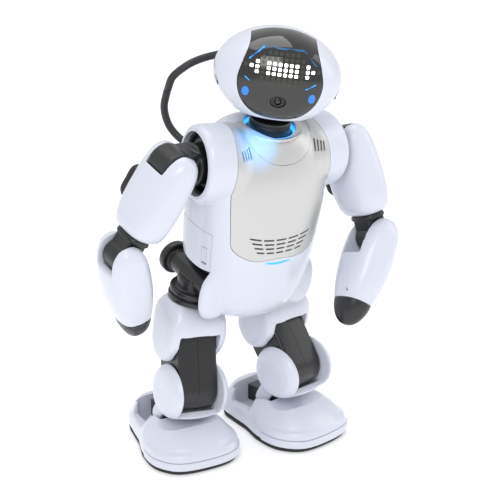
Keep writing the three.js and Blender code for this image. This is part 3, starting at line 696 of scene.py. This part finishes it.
def head():
    core = loft_up("head", HEAD_FORM, 2.2, 144, 110)
    inner = loft_up("inner", thinned(HEAD_FORM, 2.6), 2.2, 96, 60)
    cut(core, inner, rod("hole", "z", 19.6, 8, 0, 0, 0))
    visor = common(copied(core, "visor"), prism("face", "y", FACE, -80, -4))
    front = common(copied(core, "front"), box("front", 200, 100, 200, 0, -46.2, 40))
    cut(front, prism("face", "y", grown(FACE, 0.45, 0, 42), -80, -4))
    back = common(core, box("back", 200, 100, 200, 0, 54.2, 40))
    for s in (-1, 1):
        cut(front, rod("ear", "x", 4.5, 40, s * 50, -13, 26), rod("pin", "x", 0.8, 40, s * 50, -13.5, 38))
    cut(back, rod("hose", "y", 4.6, 30, -26, 38, 36))
    tree = BVHTree.FromObject(visor, bpy.context.evaluated_depsgraph_get())
    cut(visor, prism("nose", "y", superellipse(6.7, 4.9, 2, 64) + [0, 20.5], -60, -30))
    handed(front, "head_front_skin", "head", WHITE, "head_front_shell")
    handed(back, "head_back_skin", "head", WHITE, "head_back_shell")
    handed(visor, "face_visor_glass", "head", VISOR, "face_visor", angle=40)

    def on_face(outline, name, thickness=0.5, proud=0.12):
        """A small tile whose outline of [x, z] points lies on the visor."""
        loops = [[], []]
        for x, z in outline:
            hit, normal, _, _ = tree.ray_cast(Vector((x, -120, z)), Vector((0, 1, 0)))
            loops[0].append(hit - normal * thickness)
            loops[1].append(hit + normal * proud)
        return rings(name, loops)

    z0, dx, dz = 47.5, 4.6, 3.95
    lit, dim = [], []
    for column in range(-7, 8):
        if column == 0:
            continue
        n = abs(column)
        x = (n - 0.5) * dx * (1 if column > 0 else -1)
        bright, faint = {1: (1, 3), 2: (1, 3), 3: (1, 3), 4: (-1, 2), 5: (1, 1), 6: (0, 0), 7: (-1, 0)}[n]
        for row in range(-faint, faint + 1):
            tile = on_face(superellipse(1.42, 1.32, 4, 16) + [x, z0 + row * dz], "tile")
            (lit if abs(row) <= bright else dim).append(tile)
    handed(joined("lit", lit), "face_leds_lit", "head", LED_WHITE, "face_light_board")
    handed(joined("dim", dim), "face_leds_dim", "head", LED_DIM)

    def stroke(points, width, name):
        points = np.asarray(points, float)
        steps = np.linspace(0, 1, 13)[:, None]
        line = points[0] + (points[1] - points[0]) * steps
        side = np.array([points[0][1] - points[1][1], points[1][0] - points[0][0]])
        side = side / np.linalg.norm(side) * width / 2
        return on_face(np.concatenate([line + side, (line - side)[::-1]]), name, 0.4, 0.08)

    bright = [stroke([[-27.7, z0 + 4.6], [-16.4, z0 + 15.3]], 0.9, "line"),
              stroke([[-29.6, z0 - 9.7], [-25.6, z0 - 12.4]], 0.7, "line"),
              stroke([[29.0, z0 - 9.7], [21.0, z0 - 14.2]], 0.8, "line")]
    faint = [stroke([[-16.1, z0 + 15.5], [0, z0 + 15.5]], 1.3, "line"),
             stroke([[0.2, z0 + 15.5], [16.1, z0 + 15.5]], 1.3, "line"),
             stroke([[16.4, z0 + 15.3], [27.7, z0 + 4.6]], 1.0, "line")]
    handed(joined("bright", bright), "face_lines_bright", "head", LED_BLUE)
    handed(joined("faint", faint), "face_lines_faint", "head", LED_FAINT)
    cheeks = [on_face(superellipse(2.9, 3.9, 2, 40) + [s * 27.5, z0 - 22], "cheek") for s in (-1, 1)]
    handed(joined("cheeks", cheeks), "face_cheek_lights", "head", CHEEK_BLUE)

    nose = melted("nose", [prism("nose", "y", superellipse(6.4, 4.6, 2, 48) + [0, 20.5], -41.6, -36)], 0.5, 4)
    cut(nose, rod("lens", "y", 3.0, 8, 0, -42.6, 20.5))
    lens = lathe("lens", "y", [[2.9, -37.5], [2.9, -40.2], [2.2, -40.8], [1.2, -41.1], [0.05, -41.2]], 0, 0,
                 20.5)
    handed(nose, "nose_bezel", "head", BLACK, "nose_camera")
    handed(lens, "nose_lens", "head", VISOR)
    for side, s in SIDES:
        profile = [[4.2, 41], [4.2, 50.0], [3.7, 50.5], [2.9, 50.5], [2.7, 49.6], [2.0, 49.8], [1.6, 50.3],
                   [0.8, 50.6],
                   [0.05, 50.7]]
        eye = lathe("eye", "x", [[r, s * h] for r, h in profile], 0, -13, 26)
        eye.data.transform(Matrix.Translation((-s * 0.6, 0, 0)))
        handed(eye, f"{side}_ear_lens", "head", VISOR, f"{side}_ear_sensor")


neck()
head()


# ---------------------------------------------------------------- arms
def arm(side, s):
    # A drum in the shoulder, a neck out of it, and a knuckle between the ears of the upper arm.
    bracket = melted("bracket", [
        rod("drum", "x", 22.5, 7, s * -11, edge=1.2), rod("neck", "x", 17, 20, s * -4, edge=1.0),
        rod("waist", "x", 18.5, 5, s * 2.5, edge=1.5), box("web", 22, 26, 30, s * 12),
        rod("knuckle", "y", 16.5, 26.6,
                                                                                          s * 23, edge=1.2),
    ], 0.9, 6)
    handed(bracket, f"{side}_shoulder_knuckle", f"{side}_shoulder_bracket", BLACK,
           f"{side}_shoulder_bracket")

    upper_form = [[16.2, 3, 14], [15.2, 7.5, 20], [12, 11.5, 24], [6, 15, 26.6], [0, 17, 27.2],
                  [-10, 18.2, 28],
                  [-22, 18.8, 28.2], [-38, 18.8, 28.2], [-50, 18.2, 26.8], [-58, 16.8, 24.5], [-63, 14.2, 21],
                  [-65, 11, 17]]
    upper = loft_up("upper", upper_form, 2.7, 80, 60)
    cut(upper, rod("slot", "y", 17.3, 27.7), box("slot", 60, 27.7, 40, 0, 0, 14),
        box("slot", 30, 27.7, 36, s * -15, 0, 0))
    upper = melted("upper", [upper], 0.9, 5)
    cut(upper, box("seam", 80, 0.7, 8, 0, 0, -65.5))
    handed(upper, f"{side}_upper_arm_skin", f"{side}_upper_arm", WHITE,
           f"{side}_upper_arm_shell")
    pad = loft_up("pad", [[-45, 9, 2.5, 29], [-42, 11, 4, 30], [-30, 12, 4.6, 30.6], [-18, 11, 4, 30],
                          [-15, 9, 2.5, 29]],
                  3, 40, 24)
    handed(relaxed(pad, 2), f"{side}_upper_arm_grip", f"{side}_upper_arm", BLACK,
           f"{side}_upper_arm_pad")
    elbow = melted("elbow", [
        loft_up("cup", [[-65.2, 10.5, 15.5], [-67, 11.6, 16], [-69.6, 12, 16]], 3, 48, 6),
        box("stem", 18, 22.6, 22, 0, 0, -79.5), rod("pivot", "y", 12.5, 22.8, 0, 0, -88, edge=0.8),
    ], 0.7, 5)
    handed(elbow, f"{side}_elbow_knuckle", f"{side}_upper_arm", BLACK, f"{side}_elbow_bracket")

    fore_form = [[16.6, 3, 13], [15.4, 8, 18.5], [12, 12, 21.6], [6, 15.6, 24], [0, 17.6, 25],
                 [-10, 19, 25.2],
                 [-22, 19.5, 25], [-36, 18.9, 23.8], [-48, 17.4, 21.8], [-57, 15.6, 19.4],
                 [-62.2, 14.4, 17.9]]
    fore = loft_up("fore", fore_form, 2.7, 80, 60)
    cut(fore, rod("slot", "y", 13.7, 25.2), box("slot", 60, 25.2, 36, 0, 0, 12),
        box("slot", 24, 25.2, 40, s * -14, 0, -2))
    fore = melted("fore", [fore], 0.85, 5)
    cut(fore, rod("pin", "x", 1.5, 20, s * -16, -8, -56), box("below", 60, 60, 10, 0, 0, -67.2))
    handed(fore, f"{side}_forearm_skin", f"{side}_forearm", WHITE, f"{side}_forearm_shell")
    tip = loft_up("tip", [[-62.7, 14.3, 17.8], [-67, 13.7, 16.8], [-72, 12.3, 14.8], [-77, 10, 11.8],
                          [-80.5, 7.3, 8.6],
                          [-82.8, 4, 5], [-83.5, 0.5, 0.6]], 2.5, 64, 36)
    handed(tip, f"{side}_hand_cap", f"{side}_forearm", BLACK, f"{side}_hand_tip")


for side, s in SIDES:
    arm(side, s)


# ---------------------------------------------------------------- legs
SHIN_LEAN_COS, SHIN_LEAN_SIN = 0.84, 0.54


def bulb_outline(k=1.0, count=64):
    """The shin's section: an egg that lies level when the robot stands, as [y, z] points."""
    points = []
    for t in np.linspace(0, 2 * math.pi, count, endpoint=False):
        y, z = 25 * math.cos(t), 25 * math.sin(t)
        long = y * 1.2 if y < 0 else y
        points.append([k * (long * SHIN_LEAN_COS + z * SHIN_LEAN_SIN),
                       k * (-long * SHIN_LEAN_SIN + z * SHIN_LEAN_COS)])
    return points


def leg(side, s):
    roll, yaw = f"{side}_hip_roll", f"{side}_hip_yaw"
    housing = melted("housing", [
        rod("beam", "y", 10, 58, 0, 4, 0, edge=1), rod("drum", "y", 15, 8, 0, 37, 0, edge=1.4),
        rod("post", "z", 16, 12, 0, 0, -5, edge=0.6), rod("plate", "z", 21.5, 5, 0, 0, -11.4, edge=0.9),
    ], 0.9, 4)
    handed(housing, f"{side}_hip_motor", roll, BLACK, f"{side}_hip_roll_housing")
    disc = lathe("disc", "z", [[0.2, -19.9], [21.4, -19.9], [22, -19.3], [22, -16.4], [21.2, -15.6],
                               [19.6, -15.2],
                               [19.2, -14.6], [0.2, -14.6]])
    handed(disc, f"{side}_hip_turntable", yaw, BLACK, f"{side}_hip_yaw_disc")

    outline = hermite([*arc(0, 0, 18.5, 195, 320, 7), [19.5, -6], [22.5, 6], [25, 22], [24, 33], [18, 39.4],
                       [-5, 39.4],
                       [-13, 34], [-22, 16], [-22, 5]], 96, closed=True)
    block = loft_across("block", outline, [[-29, 0.55], [-28, 0.74], [-25, 0.9], [-20, 0.985], [0, 1],
                                           [20, 0.985],
                                           [25, 0.9], [28, 0.74], [29, 0.55]], 40)
    common(block, loft_up("crown", [[-40, 60, 60], [12, 40, 40, 3], [39.6, 24, 24, 7]], 2, 72, 24))
    cut(block, rod("slot", "x", 20.6, 39.6), box("slot", 39.6, 50, 60, 0, -18, -14.5),
        box("slot", 39.6, 60, 40, 0, 0, -24))
    block = melted("block", [block], 0.9, 5)
    block.data.transform(Matrix.Translation((0, -7, -60)))
    handed(block, f"{side}_hip_fairing", yaw, WHITE, f"{side}_hip_block")

    outline = [*arc(0, 0, 19.4, 0, 180, 40), *arc(0, -44, 18.4, 180, 360, 40)]
    band = melted("band", [loft_across("band", outline,
                                       [[-19, 0.93], [-18.4, 0.965], [-17, 0.995], [-15, 1], [15, 1],
                                                         [17, 0.995], [18.4, 0.965], [19, 0.93]], 30,
                                                         (0, -22))],
                  0.8, 3)
    cut(band, box("line", 0.3, 80, 120, 0, -57.9, -20))
    handed(band, f"{side}_knee_cover", f"{side}_thigh", BLACK, f"{side}_knee_link")

    rows = [[-29, 0.5], [-28.2, 0.68], [-26, 0.83], [-22, 0.95], [-16, 1], [16, 1], [22, 0.95], [26, 0.83],
            [28.2, 0.68], [29, 0.5]]
    bulb = loft_across("bulb", bulb_outline(), rows, 48)
    cut(bulb, rod("slot", "x", 21.2, 39.4), box("slot", 39.4, 46, 60, 0, -15, 24),
        box("slot", 39.4, 40, 75, 0, 20, 16.5))
    cheeks = []
    for x in (-17.4, 17.4):
        cheeks += [box("cheek", 3.4, 15, 18, x, 1, -30.8), rod("cheek", "x", 7.5, 3.4, x, 1, -40)]
    bulb = melted("bulb", [bulb, *cheeks], 0.85, 5)
    handed(bulb, f"{side}_shin_skin", f"{side}_shin", WHITE, f"{side}_shin_shell")
    ankle = melted("ankle", [rod("pivot", "x", 10.5, 28, edge=0.8), box("tail", 24, 26, 16, 0, 13, -3)], 0.8,
                   4)
    cut(ankle, rod("bore", "y", 4.2, 90))
    handed(ankle, f"{side}_ankle_motor", f"{side}_ankle", BLACK, f"{side}_ankle_block")
    foot(side, s)


def foot(side, s):
    low = -29
    plan = two_sided([[31, -61], [41, -46], [41.5, -18], [34, 8], [30.5, 28], [26, 45]], -68, 53, 140)

    def layer(z, k):
        ring = (plan - [0, 13]) * k + [0, 13]
        return np.column_stack([ring, np.full(len(ring), z)])

    toe = loft_up("toe", [[low + 8, 40, 41.6, -25], [low + 13, 40.6, 42, -25], [low + 19, 39.4, 40, -24.4],
                          [low + 26, 34.6, 35, -22.6], [low + 32, 27, 27.4, -21], [low + 36, 18, 18.4, -19.6],
                          [low + 37.8, 8, 9, -19]], 2.5, 96, 44)
    heel = loft_up("heel", [[low + 6, 29, 31, 21], [low + 14, 29, 31, 21], [low + 22, 28, 30, 21],
                            [low + 28, 26, 28, 20.5],
                            [low + 32, 23, 25, 20], [low + 34, 19, 21, 20]], 2.6, 96, 36)
    slab = rings("slab", [layer(low + 4.2, 0.98), layer(low + 10, 1), layer(low + 15, 0.99),
                          layer(low + 19, 0.96)])
    shell = melted("foot", [toe, heel, slab], 1.0, 8)
    sweeps = []
    for degrees in range(-6, 43, 6):
        c, n = math.cos(rad(degrees)), math.sin(rad(degrees))
        at = [[1.08 * y, 1.1 * z + 40] for y, z in bulb_outline(count=48)]
        sweeps.append(prism("sweep", "x", [[y * c - z * n, y * n + z * c] for y, z in at], -45, 45))
    cut(shell, box("well", 44, 51, 60, 0, 10.5, low + 38), box("sides", 100, 26, 60, 0, 18, low + 49),
        *sweeps)
    shell = melted("foot", [shell], 0.9, 4)
    groove_out = rings("groove", [layer(low + 2, 1.2), layer(low + 12.6, 1.2)])
    groove_in = rings("groove", [layer(low + 1, 0.95), layer(low + 14, 0.95)])
    front = box("front", 120, 62.6, 30, 0, -54, low + 6)
    cut(groove_out, groove_in)
    cut(shell, common(groove_out, front))
    handed(shell, f"{side}_foot_skin", f"{side}_foot", WHITE, f"{side}_foot_shell")
    band = rings("band", [layer(low + 4.2, 0.98), layer(low + 5, 1.0), layer(low + 8, 1.015),
                          layer(low + 11, 1.012),
                          layer(low + 12, 1.0)])
    cut(band, rings("inner", [layer(low + 3, 0.956), layer(low + 13, 0.956)]))
    common(band, box("front", 120, 62, 40, 0, -54, low + 10))
    handed(band, f"{side}_toe_bumper", f"{side}_foot", WHITE, f"{side}_toe_band")
    sole = rings("sole", [layer(low, 0.95), layer(low + 0.8, 0.965), layer(low + 3.2, 0.98),
                          layer(low + 4, 0.975)])
    handed(sole, f"{side}_sole_tread", f"{side}_foot", RUBBER, f"{side}_foot_sole")


for side, s in SIDES:
    leg(side, s)


# ---------------------------------------------------------------- floor and light
def stage():
    floor = rings("floor", [[[-3000, -3000, 0], [3000, -3000, 0], [3000, 3000, 0], [-3000, 3000, 0]],
                            [[-3000, -3000, -10], [3000, -3000, -10], [3000, 3000, -10], [-3000, 3000, -10]]])
    floor.data.transform(Matrix.Scale(0.001, 4))
    floor.name = "floor"
    floor.location.z = -0.0002
    floor.data.materials.append(material("floor_white", (0.93, 0.93, 0.935), 0.6, vary=0.004, grain=0.02,
                                         grain_scale=60))
    shader = floor.data.materials[0].node_tree.nodes["Principled BSDF"]
    shader.inputs["Emission Color"].default_value = (1, 1, 1, 1)
    shader.inputs["Emission Strength"].default_value = 0.28
    world = bpy.data.worlds.new("studio")
    bpy.context.scene.world = world
    world.use_nodes = True
    world.node_tree.nodes["Background"].inputs["Color"].default_value = (0.97, 0.98, 1.0, 1)
    world.node_tree.nodes["Background"].inputs["Strength"].default_value = 0.75
    bpy.context.scene.view_settings.view_transform = "Standard"

    def soft_light(name, where, size, power, colour=(1, 1, 1)):
        data = bpy.data.lights.new(name, "AREA")
        data.shape = "RECTANGLE"
        data.size, data.size_y = size
        data.energy = power
        data.color = colour
        lamp = bpy.data.objects.new(name, data)
        lamp.location = where
        lamp.rotation_euler = (Vector((0, 0, 0.2)) - Vector(where)).to_track_quat("-Z", "Y").to_euler()
        bpy.context.scene.collection.objects.link(lamp)

    soft_light("key", (-0.9, -1.2, 1.5), (1.0, 1.0), 11)
    soft_light("side", (1.5, -0.6, 0.9), (0.7, 1.4), 4)
    soft_light("top", (0.1, 0.5, 1.9), (1.4, 1.0), 8)


stage()
